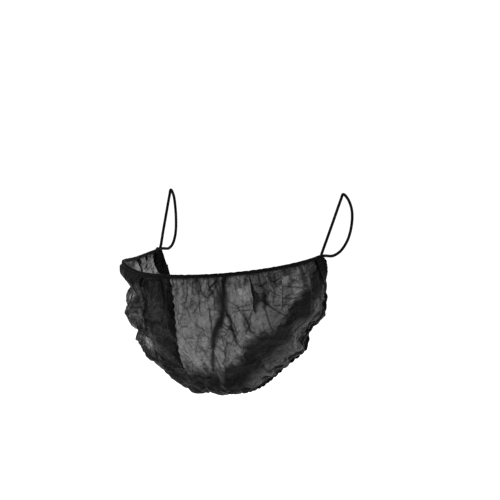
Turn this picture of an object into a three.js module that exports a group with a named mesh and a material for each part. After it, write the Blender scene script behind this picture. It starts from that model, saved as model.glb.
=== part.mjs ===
// Disposable beard net: a gathered pouch of thin non-woven cloth between two elastic edges,
// with a loop of elastic cord for each ear.
// Millimetres. +Z is up, -Y is the front and +X is the wearer's left.
// The origin is halfway between the crowns of the two ear loops, where they hang on the ears.
import * as THREE from "three";

// Top edge, over the upper lip and the cheeks, measured from the ear loops' crowns.
const TOP_REACH = 118;
const TOP_DROP = 54;
const CORNER_HALF_WIDTH = 71;
const CORNER_REACH = 23;
const CORNER_DROP = 43.5;
// The edge stands off the right cheek in one wave, outwards and up.
const WAVE_OUT = 4.5;
const WAVE_UP = 3;
const WAVE_SIDE = -0.52;
const WAVE_WIDTH = 0.17;

// Lower edge, from behind each cheek down the jaw and under the chin.
const HEM_HALF_WIDTH = 70;
const HEM_REACH = 50;
const HEM_DROP = 144;
const HEM_END_REACH = 16;
const HEM_END_DROP = 47;
const HEM_BACK_SWELL = 7;

// Cloth and elastic.
const CLOTH = 1.1;
const EDGE_ROUND = 2.6;
const CORD_ROUND = 2.2;
const SEAM_GAP = 0.5;
const BILLOW = 12;
const FOLD_HEIGHT = 5;
const FOLD_WIDTH = 9;
const RIPPLE_HEIGHT = 1.5;
const RIPPLE_PITCH = 11;

// Gathered ends.
const END_SHARE = 0.965;
const TUFT_THICKNESS = 4.6;
const TUFT_TAPER = 0.8;
const TUFT_THINNING = 0.25;
const TUFT_PLEATS = 4;
const PLEAT_DEPTH = 0.2;
const TUFT_RISE = 1.5;

// Ear loops: the crown lies at the origin's height, and the back strand runs behind the ear.
const CROWN_HALF_WIDTH = 77;
const LOOP_BACK = 9;
const LOOP_SPREAD = 2.5;

// Fineness of the meshes.
const NET_COLUMNS = 84;
const NET_ROWS = 24;
const EDGE_STEPS = 40;
const CORD_STEPS = 36;
const TUFT_COLUMNS = 6;
const TUFT_ROWS = 16;
const ROUND_SIDES = 8;

const QUARTER = Math.PI / 2;

// Cross-sections of the pouch, from the middle plane (at 0) to the gathered corner (at 1).
// topOut and lowOut are shares of BILLOW. topFall and lowFall are shares of the height between
// the two edges there, and lowAhead is a share of the depth between them.
const SECTIONS = [
  { at: 0.0, topOut: 0.5, topFall: 0.44, lowAhead: 0.6, lowOut: 0.0, lowFall: -0.03 },
  { at: 0.5, topOut: 0.55, topFall: 0.46, lowAhead: 0.48, lowOut: 0.5, lowFall: 0.06 },
  { at: 0.8, topOut: 0.5, topFall: 0.45, lowAhead: 0.4, lowOut: 0.4, lowFall: 0.1 },
  { at: 1.0, topOut: 0.25, topFall: 0.4, lowAhead: 0.35, lowOut: 0.25, lowFall: 0.15 },
];

// Main folds. A fold runs over the cloth from one end to the other: side is the place from the
// wearer's right corner (-1) to the left corner (1), and down is the place from the top edge (0)
// to the lower edge (1). width and height are shares of FOLD_WIDTH and FOLD_HEIGHT, and a
// height below 0 is a dent.
const FOLDS = [
  { side: 0.39, down: 0.04, toSide: 0.34, toDown: 0.34, width: 0.6, height: 0.7 },
  { side: 0.34, down: 0.34, toSide: 0.2, toDown: 0.78, width: 0.5, height: 0.6 },
  { side: 0.3, down: 0.12, toSide: 0.14, toDown: 0.66, width: 0.5, height: -0.45 },
  { side: 0.5, down: 0.1, toSide: 0.46, toDown: 0.38, width: 0.45, height: 0.5 },
  { side: 0.45, down: 0.24, toSide: 0.42, toDown: 0.62, width: 0.5, height: -0.55 },
  { side: 0.58, down: 0.12, toSide: 0.7, toDown: 0.5, width: 0.55, height: 0.6 },
  { side: 0.76, down: 0.1, toSide: 0.66, toDown: 0.44, width: 0.5, height: -0.5 },
  { side: 0.86, down: 0.2, toSide: 0.74, toDown: 0.86, width: 0.5, height: 0.45 },
  { side: 0.25, down: 0.82, toSide: 0.8, toDown: 0.8, width: 0.8, height: 0.5 },
  { side: 0.08, down: 0.7, toSide: 0.62, toDown: 0.68, width: 0.6, height: -0.45 },
  { side: 0.02, down: 0.05, toSide: -0.08, toDown: 0.4, width: 0.5, height: -0.4 },
  { side: -0.1, down: 0.3, toSide: 0.1, toDown: 0.62, width: 0.7, height: -0.55 },
  { side: -0.16, down: 0.55, toSide: -0.1, toDown: 0.92, width: 0.6, height: 0.3 },
  { side: -0.7, down: 0.04, toSide: -0.28, toDown: 0.05, width: 0.6, height: 0.4 },
  { side: -0.72, down: 0.13, toSide: -0.24, toDown: 0.15, width: 0.45, height: -0.6 },
  { side: -0.68, down: 0.25, toSide: -0.3, toDown: 0.22, width: 0.35, height: 0.25 },
  { side: -0.72, down: 0.36, toSide: -0.26, toDown: 0.33, width: 0.5, height: 0.45 },
  { side: -0.7, down: 0.46, toSide: -0.22, toDown: 0.44, width: 0.55, height: -0.5 },
  { side: -0.66, down: 0.57, toSide: -0.24, toDown: 0.56, width: 0.4, height: 0.35 },
  { side: -0.3, down: 0.12, toSide: -0.24, toDown: 0.5, width: 0.5, height: 0.55 },
  { side: -0.86, down: 0.2, toSide: -0.74, toDown: 0.86, width: 0.5, height: 0.5 },
  { side: -0.56, down: 0.66, toSide: -0.1, toDown: 0.8, width: 0.6, height: -0.5 },
];

const finish = (color, roughness) =>
  new THREE.MeshStandardMaterial({ color, roughness, metalness: 0, side: THREE.DoubleSide });
const clothFinish = finish(0x17181a, 0.85);
const elasticFinish = finish(0x0b0b0c, 0.7);

// Eased steps: rising from 0 at low to 1 at high, and falling from 1 to 0.
const rising = (low, high, x) => THREE.MathUtils.smoothstep(x, low, high);
const falling = (low, high, x) => 1 - rising(low, high, x);

// A point of the top edge, for a place from one corner (-1) to the other (1), before its wave.
function plainTopEdge(side) {
  const turn = side * QUARTER;
  return new THREE.Vector3(
    CORNER_HALF_WIDTH * Math.sin(turn),
    -CORNER_REACH - (TOP_REACH - CORNER_REACH) * Math.cos(turn),
    -TOP_DROP + (TOP_DROP - CORNER_DROP) * side ** 2,
  );
}

// The level direction away from the middle of the pouch at one place.
function outwardAt(side) {
  const turn = side * QUARTER;
  return new THREE.Vector3(Math.sin(turn), -Math.cos(turn), 0);
}

function topEdge(side) {
  const wave = Math.exp(-(((side - WAVE_SIDE) / WAVE_WIDTH) ** 2));
  const point = plainTopEdge(side).addScaledVector(outwardAt(side), WAVE_OUT * wave);
  point.z += WAVE_UP * wave;
  return point;
}

// A point of the lower edge, for the same places.
function lowEdge(side) {
  const turn = side * QUARTER;
  const flank = Math.abs(Math.sin(turn)) ** 1.8;
  const swell = Math.sin(Math.PI * Math.abs(side) ** 3);
  return new THREE.Vector3(
    HEM_HALF_WIDTH * Math.sin(turn),
    -HEM_REACH + (HEM_REACH - HEM_END_REACH) * flank + HEM_BACK_SWELL * swell,
    -HEM_END_DROP - (HEM_DROP - HEM_END_DROP) * Math.cos(turn) ** 0.65,
  );
}

// One column of SECTIONS at any place, in straight steps from row to row.
function sectionValue(column, side) {
  const at = Math.abs(side);
  const next = SECTIONS.findIndex((row) => row.at >= at);
  const high = SECTIONS[Math.max(next, 1)];
  const low = SECTIONS[Math.max(next, 1) - 1];
  return THREE.MathUtils.lerp(low[column], high[column], (at - low.at) / (high.at - low.at));
}

// The curve of the cloth from the top edge to the lower edge at one place.
function sectionCurve(side) {
  const start = topEdge(side);
  const plain = plainTopEdge(side);
  const end = lowEdge(side);
  const height = plain.z - end.z;
  const outward = outwardAt(side);
  const ahead = new THREE.Vector3(0, plain.y - end.y, 0);
  const upper = plain.addScaledVector(outward, sectionValue("topOut", side) * BILLOW);
  upper.z -= sectionValue("topFall", side) * height;
  const lower = end.clone().addScaledVector(outward, sectionValue("lowOut", side) * BILLOW);
  lower.addScaledVector(ahead, sectionValue("lowAhead", side));
  lower.z -= sectionValue("lowFall", side) * height;
  return new THREE.CubicBezierCurve3(start, upper, lower, end);
}

// A point of the plain pouch, its edges clear of the elastic ones by SEAM_GAP.
function pouchPoint(side, down) {
  const curve = sectionCurve(side);
  const seat = EDGE_ROUND / 2 + SEAM_GAP;
  const first = seat / (3 * curve.v0.distanceTo(curve.v1));
  const last = 1 - seat / (3 * curve.v2.distanceTo(curve.v3));
  return curve.getPoint(THREE.MathUtils.lerp(first, last, down));
}

// Flat sizes of the pouch, which turn shares into lengths along the cloth.
const halfLength = new THREE.CatmullRomCurve3([0, 0.25, 0.5, 0.75, 1].map(topEdge)).getLength();
const middleLength = sectionCurve(0).getLength();

// How far the folds push the cloth out at one place.
function foldOffset(side, down) {
  const across = side * halfLength;
  const along = down * middleLength;
  let ridge = 0;
  let dent = 0;
  for (const fold of FOLDS) {
    const from = new THREE.Vector2(fold.side * halfLength, fold.down * middleLength);
    const line = new THREE.Vector2(fold.toSide * halfLength, fold.toDown * middleLength).sub(from);
    const here = new THREE.Vector2(across, along).sub(from);
    const share = THREE.MathUtils.clamp(here.dot(line) / line.lengthSq(), 0, 1);
    const away = here.distanceTo(line.multiplyScalar(share)) / (fold.width * FOLD_WIDTH);
    const push = fold.height * FOLD_HEIGHT * Math.exp(-away * away);
    ridge = Math.max(ridge, push);
    dent = Math.min(dent, push);
  }
  return ridge + dent;
}

// Ripples that the elastic edges gather into the cloth, fading towards its middle.
function rippleOffset(side, down) {
  const turns = (side * halfLength) / RIPPLE_PITCH;
  const upper = Math.sin(2 * Math.PI * (turns + 0.12 * Math.sin(3.1 * turns)));
  const lower = Math.sin(2 * Math.PI * (0.8 * turns + 0.14 * Math.sin(2.3 * turns) + 0.25));
  return RIPPLE_HEIGHT * (upper * falling(0.1, 0.45, down) + lower * rising(0.55, 0.9, down));
}

function shapedOffset(side, down) {
  const edges = rising(0, 0.05, down) * falling(0.95, 1, down);
  const corners = falling(0.86, END_SHARE, Math.abs(side));
  return edges * corners * (foldOffset(side, down) + rippleOffset(side, down));
}

// A grid of points, and the outward direction at each of them.
function gridOf(columns, rows, pointAt) {
  const grid = [];
  for (let i = 0; i <= columns; i++)
    grid.push(Array.from({ length: rows + 1 }, (_, j) => pointAt(i / columns, j / rows)));
  return grid;
}

function normalsOf(grid) {
  const last = [grid.length - 1, grid[0].length - 1];
  return grid.map((column, i) =>
    column.map((_, j) => {
      const along = grid[Math.min(i + 1, last[0])][j].clone().sub(grid[Math.max(i - 1, 0)][j]);
      const down = grid[i][Math.min(j + 1, last[1])].clone().sub(grid[i][Math.max(j - 1, 0)]);
      return down.cross(along).normalize();
    }),
  );
}

// A closed wall round a grid: two faces half a thickness to each side, and a rim on four sides.
function wallGeometry(grid, halfThickness) {
  const normals = normalsOf(grid);
  const columns = grid.length;
  const rows = grid[0].length;
  const positions = [];
  for (const way of [1, -1])
    grid.forEach((column, i) =>
      column.forEach((point, j) => {
        const moved = point.clone().addScaledVector(normals[i][j], way * halfThickness(i, j));
        positions.push(moved.x, moved.y, moved.z);
      }),
    );
  const outer = (i, j) => i * rows + j;
  const inner = (i, j) => columns * rows + i * rows + j;
  const index = [];
  const quad = (a, b, c, d) => index.push(a, b, c, c, b, d);
  for (let i = 0; i + 1 < columns; i++)
    for (let j = 0; j + 1 < rows; j++) {
      quad(outer(i, j), outer(i, j + 1), outer(i + 1, j), outer(i + 1, j + 1));
      quad(inner(i + 1, j), inner(i + 1, j + 1), inner(i, j), inner(i, j + 1));
    }
  for (let i = 0; i + 1 < columns; i++) {
    quad(outer(i + 1, 0), inner(i + 1, 0), outer(i, 0), inner(i, 0));
    quad(outer(i, rows - 1), inner(i, rows - 1), outer(i + 1, rows - 1), inner(i + 1, rows - 1));
  }
  for (let j = 0; j + 1 < rows; j++) {
    quad(outer(0, j), inner(0, j), outer(0, j + 1), inner(0, j + 1));
    const end = columns - 1;
    quad(outer(end, j + 1), inner(end, j + 1), outer(end, j), inner(end, j));
  }
  const geometry = new THREE.BufferGeometry();
  geometry.setAttribute("position", new THREE.Float32BufferAttribute(positions, 3));
  geometry.setIndex(index);
  geometry.computeVertexNormals();
  return geometry;
}

// A round cord or elastic edge along a curve.
function roundGeometry(path, thickness, steps) {
  const section = new THREE.Shape();
  for (let k = 0; k < ROUND_SIDES; k++) {
    const turn = (2 * Math.PI * k) / ROUND_SIDES;
    const x = (thickness / 2) * Math.cos(turn);
    const y = (thickness / 2) * Math.sin(turn);
    if (k === 0) section.moveTo(x, y);
    else section.lineTo(x, y);
  }
  section.closePath();
  return new THREE.ExtrudeGeometry(section, { steps, bevelEnabled: false, extrudePath: path });
}

class EdgePath extends THREE.Curve {
  constructor(edge) {
    super();
    this.edge = edge;
  }
  getPoint(share, target = new THREE.Vector3()) {
    return target.copy(this.edge(THREE.MathUtils.lerp(-END_SHARE, END_SHARE, share)));
  }
}

function netBodyGeometry() {
  const place = (share) => THREE.MathUtils.lerp(-END_SHARE, END_SHARE, share);
  const plain = gridOf(NET_COLUMNS, NET_ROWS, (across, down) => pouchPoint(place(across), down));
  const outward = normalsOf(plain);
  plain.forEach((column, i) =>
    column.forEach((point, j) =>
      point.addScaledVector(outward[i][j], shapedOffset(place(i / NET_COLUMNS), j / NET_ROWS)),
    ),
  );
  return wallGeometry(plain, () => CLOTH / 2);
}

// The knot that a gathered end draws up to, on the wearer's left.
const knot = new THREE.Vector3(
  CORNER_HALF_WIDTH + 0.5,
  -CORNER_REACH + TUFT_RISE,
  -CORNER_DROP + TUFT_RISE,
);
const tuftSide = END_SHARE + SEAM_GAP / halfLength;
const tuftCurve = sectionCurve(tuftSide);

// A point of the left gathered end: down runs along the net's end, and up from it to the knot.
function tuftPoint(down, up) {
  const foot = tuftCurve.getPoint(down);
  const before = (EDGE_ROUND / 2) * falling(0, 0.1, down);
  const after = (EDGE_ROUND / 2) * rising(0.9, 1, down);
  foot.addScaledVector(tuftCurve.getTangent(down), after - before);
  return foot.lerp(knot, TUFT_TAPER * up);
}

function tuftGeometry() {
  const grid = gridOf(TUFT_COLUMNS, TUFT_ROWS, (up, down) => tuftPoint(down, up));
  const pleat = (down) => 1 + PLEAT_DEPTH * Math.cos(2 * Math.PI * TUFT_PLEATS * down);
  const thinning = (up) => 1 - TUFT_THINNING * up;
  const half = (i, j) => (TUFT_THICKNESS / 2) * pleat(j / TUFT_ROWS) * thinning(i / TUFT_COLUMNS);
  return wallGeometry(grid, half);
}

// Where a strand of the ear loop leaves the gathered end, clear of its narrow rim.
function aboveTuft(down, clear) {
  const rim = tuftPoint(down, 1);
  const upward = rim.clone().sub(tuftPoint(down, 0)).normalize();
  return rim.addScaledVector(upward, SEAM_GAP + clear);
}

// The left ear loop: up from the knot in front of the ear, over its root, and back behind it.
function loopPath() {
  const crown = new THREE.Vector3(CROWN_HALF_WIDTH, 0, CORD_ROUND / 2);
  const front = aboveTuft(0.25, CORD_ROUND / 2);
  const back = aboveTuft(0.75, CORD_ROUND);
  const drop = CORNER_DROP;
  const behind = (spread, reach, fall) =>
    new THREE.Vector3(CROWN_HALF_WIDTH + spread * LOOP_SPREAD, reach * LOOP_BACK, -fall * drop);
  const shoulder = front.clone().lerp(crown, 0.9);
  shoulder.z += 0.01 * drop;
  shoulder.y -= 0.02 * LOOP_BACK;
  return new THREE.CatmullRomCurve3(
    [
      front,
      front.clone().lerp(shoulder, 0.33),
      front.clone().lerp(shoulder, 0.66),
      shoulder,
      crown,
      behind(0.5, 0.6, 0.07),
      behind(0.9, 1.0, 0.26),
      behind(0.7, 1.05, 0.5),
      behind(0.1, 0.75, 0.74),
      behind(-0.7, 0.05, 0.92),
      behind(-1.4, -0.85, 1.0),
      back,
    ],
    false,
    "centripetal",
  );
}

// The same geometry on the wearer's right.
function mirrored(geometry) {
  const copy = geometry.index ? geometry.toNonIndexed() : geometry.clone();
  const position = copy.getAttribute("position");
  for (let k = 0; k < position.count; k += 3) {
    const corners = [0, 1, 2].map((c) => new THREE.Vector3().fromBufferAttribute(position, k + c));
    [corners[0], corners[2], corners[1]].forEach((p, c) => position.setXYZ(k + c, -p.x, p.y, p.z));
  }
  copy.computeVertexNormals();
  return copy;
}

function piece(name, geometry, material) {
  const mesh = new THREE.Mesh(geometry, material);
  mesh.name = name;
  return mesh;
}

const net = new THREE.Group();
net.add(piece("net_body", netBodyGeometry(), clothFinish));
net.add(piece("top_band", roundGeometry(new EdgePath(topEdge), EDGE_ROUND, EDGE_STEPS), elasticFinish));
net.add(piece("bottom_band", roundGeometry(new EdgePath(lowEdge), EDGE_ROUND, EDGE_STEPS), elasticFinish));
const tuft = tuftGeometry();
const loop = roundGeometry(loopPath(), CORD_ROUND, CORD_STEPS);
net.add(piece("end_gather_left", tuft, clothFinish));
net.add(piece("end_gather_right", mirrored(tuft), clothFinish));
net.add(piece("ear_loop_left", loop, elasticFinish));
net.add(piece("ear_loop_right", mirrored(loop), elasticFinish));

export default net;
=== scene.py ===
"""Looks of the disposable beard net: sheer crumpled cloth, gathered elastic edges and ear loops."""
import math

import bpy
import numpy as np
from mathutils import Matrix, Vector


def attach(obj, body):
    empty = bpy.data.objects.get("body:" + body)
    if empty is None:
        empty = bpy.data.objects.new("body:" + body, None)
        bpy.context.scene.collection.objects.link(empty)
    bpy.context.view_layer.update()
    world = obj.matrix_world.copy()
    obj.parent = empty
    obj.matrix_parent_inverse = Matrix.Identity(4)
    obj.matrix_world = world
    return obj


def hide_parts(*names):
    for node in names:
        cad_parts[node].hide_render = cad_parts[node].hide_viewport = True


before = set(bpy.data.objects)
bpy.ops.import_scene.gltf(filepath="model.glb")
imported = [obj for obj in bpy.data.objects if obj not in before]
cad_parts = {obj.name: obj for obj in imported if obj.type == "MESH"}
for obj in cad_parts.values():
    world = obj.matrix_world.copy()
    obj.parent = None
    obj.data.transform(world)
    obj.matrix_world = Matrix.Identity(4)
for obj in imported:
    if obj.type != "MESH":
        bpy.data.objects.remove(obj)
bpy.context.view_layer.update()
rng = np.random.default_rng(48)
MM = 0.001
UV_NAME = "cloth"

# The frame's driving sizes, in metres.
TOP_REACH = 118 * MM
TOP_DROP = 54 * MM
CORNER_HALF_WIDTH = 71 * MM
CORNER_REACH = 23 * MM
CORNER_DROP = 43.5 * MM
WAVE_OUT = 4.5 * MM
WAVE_UP = 3 * MM
WAVE_SIDE = -0.52
WAVE_WIDTH = 0.17
HEM_HALF_WIDTH = 70 * MM
HEM_REACH = 50 * MM
HEM_DROP = 144 * MM
HEM_END_REACH = 16 * MM
HEM_END_DROP = 47 * MM
HEM_BACK_SWELL = 7 * MM
# How fast the hem's reach, swell and fall change from the middle to the ends.
HEM_REACH_POWER = 1.8
HEM_SWELL_POWER = 3
HEM_FALL_POWER = 0.65
# Soft waves of the hem: the side where each lies, its width there, and its move in mm.
HEM_WAVES = [
    (0.735, 0.07, (-5.0, -3.0, 2.7)),
    (0.26, 0.14, (0.0, 0.0, -2.2)),
    (0.50, 0.13, (-1.4, 0.0, 2.6)),
]
# Thickness of the elastic edges, and how far from their middle lines the cloth ends.
EDGE_ROUND = 2.6 * MM
SEAT = EDGE_ROUND * 0.3
# The measure by which the pouch's cross-sections stand out.
BILLOW = 12 * MM
# A side runs from 0 in the middle to 1 at a corner. The bunch takes over here, and the cloth stops here.
END_SHARE = 0.965
CLOTH_END = 0.985
QUARTER = math.pi / 2

# The ear loops: the cord's thickness, the crown's place, and the back strand's reach back and sideways.
CORD_ROUND = 2.2 * MM
CROWN_HALF_WIDTH = 77 * MM
LOOP_BACK = 9 * MM
LOOP_SPREAD = 2.5 * MM
# Where the front and back strands leave the bunch, from its top (0) to its foot (1).
FRONT_ROOT = 0.25
BACK_ROOT = 0.75
# The solids' clearance between cord and bunch, and how far the cord runs in below that.
LOOP_CLEARANCE = 0.5 * MM
LOOP_ROOT = 2.5 * MM
CORD_STEP = 0.32 * MM
CORD_AROUND = 16
BRAID_PITCH = 1.9 * MM

# How far the knot lies outside the corner, and above and behind it.
KNOT_OUT = 0.5 * MM
KNOT_RISE = 1.5 * MM

# Cloth simulation, on a model ten times the real size.
SIM_SCALE = 10
SIM_FRAMES = 36
SIM_GROWTH = 0.09
SIM_HOLD = 0.04
# The firm hold fades out this far from the elastic edges, and sets in at this side.
SIM_EDGE_HELD = 0.035
SIM_END_HELD = 0.93
# Most of each wide bulge is taken out, and what is left may sink, stand or slide this far.
BULGE_ROUNDS = 60
BULGE_SHARE = 0.9
SINK_CAP = 3.5 * MM
STAND_CAP = 2.5 * MM
SLIDE_CAP = 2.5 * MM

# Wide ripples along the edges.
RIPPLE_PITCH = 11 * MM
RIPPLE_HEIGHT = 1.5 * MM
# Pleats at the elastic edges, from fine to wide: how far each reaches over the cloth, and height, in mm.
PLEATS = [
    (9, 0.5),
    (22, 0.75),
    (42, 0.8),
]
PLEAT_WIDENING = 1.9
TOP_PLEAT_PITCH = 3.4 * MM
HEM_PLEAT_PITCH = 4.2 * MM

# Crumple facets: cell sizes, heights in mm, and how dark the lines between them are.
BROAD_CELL = 17 * MM
BROAD_HEIGHT = 0.5
WIDE_CELL = 8 * MM
WIDE_HEIGHT = 0.6
WIDE_LINE = 0.55
FINE_CELL = 4.2 * MM
FINE_HEIGHT = 0.25
FINE_LINE = 0.4
SHARD_CELL = 4.6 * MM

# Loose creases: how many, length and width in mm, darkness, and how strong they are beside the others.
LOOSE_COUNT = 320
LOOSE_LENGTH = (4, 16)
LOOSE_WIDTH = (0.5, 1.1)
LOOSE_SHADE = (0.15, 0.5)
LOOSE_SHARE = 0.8
# Depth of a crease for its width, which counts up to the widest in mm.
CREASE_DEPTH = 0.45
CREASE_WIDEST = 2.2

# How dense the cloth becomes: 0 in one flat layer, 1 with no opening left, and below 0 where it opens.
# The band above the hem is partly doubled cloth and partly painted shade.
BAND_DENSITY_AND_SHADE = 0.965
SEAM_DENSITY = 0.85
FOLD_DENSITY = 0.8
LOWER_DENSITY = 0.5
PATCH_DENSITY = 0.97
BUNCH_DENSITY = 0.93
DENSEST = 0.99
# Far below 0 the cloth opens partly as painted highlights.
THINNEST = -3.4

# The elastic edges: rings and points round them, and the pitches of their ribs and sway.
EDGE_RINGS = 560
EDGE_AROUND = 14
RIB_PITCH = 1.5 * MM
WEAVE_PITCH = 6.3 * MM
ROLL_PITCH = 4.4 * MM

# The bunched ends: rings and points round them, pleats across, half thickness and lean.
BUNCH_RINGS = 34
BUNCH_AROUND = 132
BUNCH_PLEATS = 9
BUNCH_FINE_PLEATS = 21
BUNCH_HALF = 2.3 * MM
BUNCH_BACK = 1.0 * MM
BUNCH_LEAN = (0.6, 0.8, 0.1)
# The step over which its slopes are taken.
BUNCH_STEP = 0.01
# Size of its weave's map, in mm.
BUNCH_WIDE = 20
BUNCH_TALL = 14

# Colours, and the share of the light that one flat layer of cloth stops, with its limits.
BLACK = (0.0010, 0.0010, 0.0011)
CLOTH_FIBRE = (0.0034, 0.0034, 0.0037)
ELASTIC_YARN = (0.0030, 0.0030, 0.0034)
GAUZE_COVER = 0.852
GAUZE_LEAST = 0.6
GAUZE_MOST = 0.97

FLOOR = -0.3
FLOOR_REACH = 30
FLOOR_GLOW = 0.72
SKY_LIGHT = 0.4
SKY_SEEN = 1.05
# Lamps: name, place, size and power. All are aimed at the same place.
LAMPS = [
    ("key", (-0.9, -1.2, 0.8), 0.45, 24),
    ("side", (1.3, -0.6, 0.5), 0.6, 9),
    ("back", (-0.3, 1.2, 0.9), 0.6, 9),
]
LAMP_AIM = (0, -0.05, -0.09)

# The camera, at the photograph's angle to the net.
CAMERA_AZIMUTH = math.radians(33)
CAMERA_ELEVATION = math.radians(4)
CAMERA_DISTANCE = 1.5
CAMERA_LENS = 143.8
CAMERA_AIM_ACROSS = -3.4 * MM
CAMERA_AIM_UP = -42.5 * MM

# The cloth's grid before it is made twice as fine.
NET_COLUMNS = 208
NET_ROWS = 88

# Cross-sections of the pouch, as in the frame's own solids.
SECTIONS = {
    "at": [0.0, 0.5, 0.8, 1.0],
    "top_out": [0.5, 0.55, 0.5, 0.25],
    "top_fall": [0.44, 0.46, 0.45, 0.4],
    "low_ahead": [0.6, 0.48, 0.4, 0.35],
    "low_out": [0.0, 0.5, 0.4, 0.25],
    "low_fall": [-0.03, 0.06, 0.1, 0.15],
}

# Folds over the cloth: from (side, down) to (to_side, to_down), width and height in mm.
FOLDS = [
    (0.39, 0.04, 0.34, 0.34, 4.5, 3.4),
    (0.34, 0.34, 0.20, 0.78, 4.2, 3.0),
    (0.30, 0.12, 0.14, 0.66, 4.0, -2.2),
    (0.50, 0.10, 0.46, 0.38, 4.0, 2.5),
    (0.45, 0.24, 0.42, 0.62, 4.5, -2.7),
    (0.58, 0.12, 0.70, 0.50, 5.0, 3.0),
    (0.76, 0.10, 0.66, 0.44, 4.5, -2.5),
    (0.86, 0.20, 0.74, 0.86, 4.5, 2.2),
    (0.25, 0.82, 0.80, 0.80, 7.2, 2.5),
    (0.08, 0.70, 0.62, 0.68, 5.4, -2.2),
    (0.02, 0.05, -0.08, 0.40, 4.5, -2.0),
    (-0.10, 0.30, 0.10, 0.62, 6.3, -2.7),
    (-0.16, 0.55, -0.10, 0.92, 5.4, 1.5),
    (-0.70, 0.04, -0.28, 0.05, 5.4, 2.0),
    (-0.72, 0.13, -0.24, 0.15, 4.0, -3.0),
    (-0.68, 0.25, -0.30, 0.22, 3.2, 1.25),
    (-0.72, 0.36, -0.26, 0.33, 4.5, 2.25),
    (-0.70, 0.46, -0.22, 0.44, 5.0, -2.5),
    (-0.66, 0.57, -0.24, 0.56, 3.6, 1.75),
    (-0.30, 0.12, -0.24, 0.50, 4.5, 2.7),
    (-0.86, 0.20, -0.74, 0.86, 4.5, 2.5),
    (-0.56, 0.66, -0.10, 0.80, 5.4, -2.5),
]


def rising(low, high, x):
    t = np.clip((np.asarray(x, float) - low) / (high - low), 0, 1)
    return t * t * (3 - 2 * t)


def falling(low, high, x):
    return 1 - rising(low, high, x)


def stack(x, y, z):
    return np.stack(np.broadcast_arrays(x, y, z), axis=-1).astype(float)


def unit(vectors):
    return vectors / np.linalg.norm(vectors, axis=-1, keepdims=True)


def outward_at(side):
    turn = side * QUARTER
    return stack(np.sin(turn), -np.cos(turn), 0)


def plain_top_edge(side):
    turn = side * QUARTER
    return stack(
        CORNER_HALF_WIDTH * np.sin(turn),
        -CORNER_REACH - (TOP_REACH - CORNER_REACH) * np.cos(turn),
        -TOP_DROP + (TOP_DROP - CORNER_DROP) * side**2,
    )


def top_edge(side):
    side = np.asarray(side, float)
    wave = np.exp(-(((side - WAVE_SIDE) / WAVE_WIDTH) ** 2))
    point = plain_top_edge(side) + outward_at(side) * (WAVE_OUT * wave)[..., None]
    point[..., 2] += WAVE_UP * wave
    return point


def low_edge(side):
    side = np.asarray(side, float)
    turn = side * QUARTER
    flank = np.abs(np.sin(turn)) ** HEM_REACH_POWER
    swell = np.sin(math.pi * np.abs(side) ** HEM_SWELL_POWER)
    fall = np.clip(np.cos(turn), 0, 1) ** HEM_FALL_POWER
    point = stack(
        HEM_HALF_WIDTH * np.sin(turn),
        -HEM_REACH + (HEM_REACH - HEM_END_REACH) * flank + HEM_BACK_SWELL * swell,
        -HEM_END_DROP - (HEM_DROP - HEM_END_DROP) * fall,
    )
    for at, width, move in HEM_WAVES:
        wave = np.exp(-(((side - at) / width) ** 2))
        point = point + wave[..., None] * np.array(move) * MM
    return point


def section_value(column, side):
    return np.interp(np.abs(side), SECTIONS["at"], SECTIONS[column])


def pouch_points(side, down, seat):
    """Points of the plain pouch, its edges a seat's length from the elastics' middle lines."""
    start = top_edge(side)
    plain = plain_top_edge(side)
    end = low_edge(side)
    height = plain[..., 2] - end[..., 2]
    outward = outward_at(side)
    upper = plain + outward * (section_value("top_out", side) * BILLOW)[..., None]
    upper[..., 2] -= section_value("top_fall", side) * height
    lower = end + outward * (section_value("low_out", side) * BILLOW)[..., None]
    lower[..., 1] += section_value("low_ahead", side) * (plain[..., 1] - end[..., 1])
    lower[..., 2] -= section_value("low_fall", side) * height
    first = seat / (3 * np.linalg.norm(upper - start, axis=-1))
    last = 1 - seat / (3 * np.linalg.norm(end - lower, axis=-1))
    t = (first + (last - first) * down)[..., None]
    s = 1 - t
    return s**3 * start + 3 * s * s * t * upper + 3 * s * t * t * lower + t**3 * end


def grid_normals(grid):
    along = np.gradient(grid, axis=0)
    down = np.gradient(grid, axis=1)
    normal = np.cross(down, along)
    return normal / np.maximum(np.linalg.norm(normal, axis=-1, keepdims=True), 1e-12)


def path_length(points):
    return float(np.linalg.norm(np.diff(points, axis=0), axis=1).sum())


def lengths_along(points):
    """The length of the way to each point of a path."""
    return np.concatenate([[0], np.cumsum(np.linalg.norm(np.diff(points, axis=0), axis=1))])


HALF_LENGTH = path_length(plain_top_edge(np.linspace(0, 1, 200)))
MIDDLE_LENGTH = path_length(pouch_points(np.zeros(200), np.linspace(0, 1, 200), 0))


def line_distance(side, down, row):
    """Distance over the cloth to a fold's line, and the share along the line."""
    a = side * HALF_LENGTH
    b = down * MIDDLE_LENGTH
    a0, b0 = row[0] * HALF_LENGTH, row[1] * MIDDLE_LENGTH
    da, db = row[2] * HALF_LENGTH - a0, row[3] * MIDDLE_LENGTH - b0
    share = ((a - a0) * da + (b - b0) * db) / (da * da + db * db)
    kept = np.clip(share, 0, 1)
    return np.hypot(a - a0 - kept * da, b - b0 - kept * db), kept


def fold_offset(side, down):
    ridge = np.zeros_like(side)
    dent = np.zeros_like(side)
    for row in FOLDS:
        away, _ = line_distance(side, down, row)
        push = row[5] * MM * np.exp(-((away / (row[4] * MM)) ** 2))
        ridge = np.maximum(ridge, push)
        dent = np.minimum(dent, push)
    return ridge + dent


def ripple_offset(side, down):
    turns = side * HALF_LENGTH / RIPPLE_PITCH
    upper = np.sin(2 * math.pi * (turns + 0.12 * np.sin(3.1 * turns)))
    lower = np.sin(2 * math.pi * (0.8 * turns + 0.14 * np.sin(2.3 * turns) + 0.25))
    return RIPPLE_HEIGHT * (upper * falling(0.1, 0.45, down) + lower * rising(0.55, 0.9, down))


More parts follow.
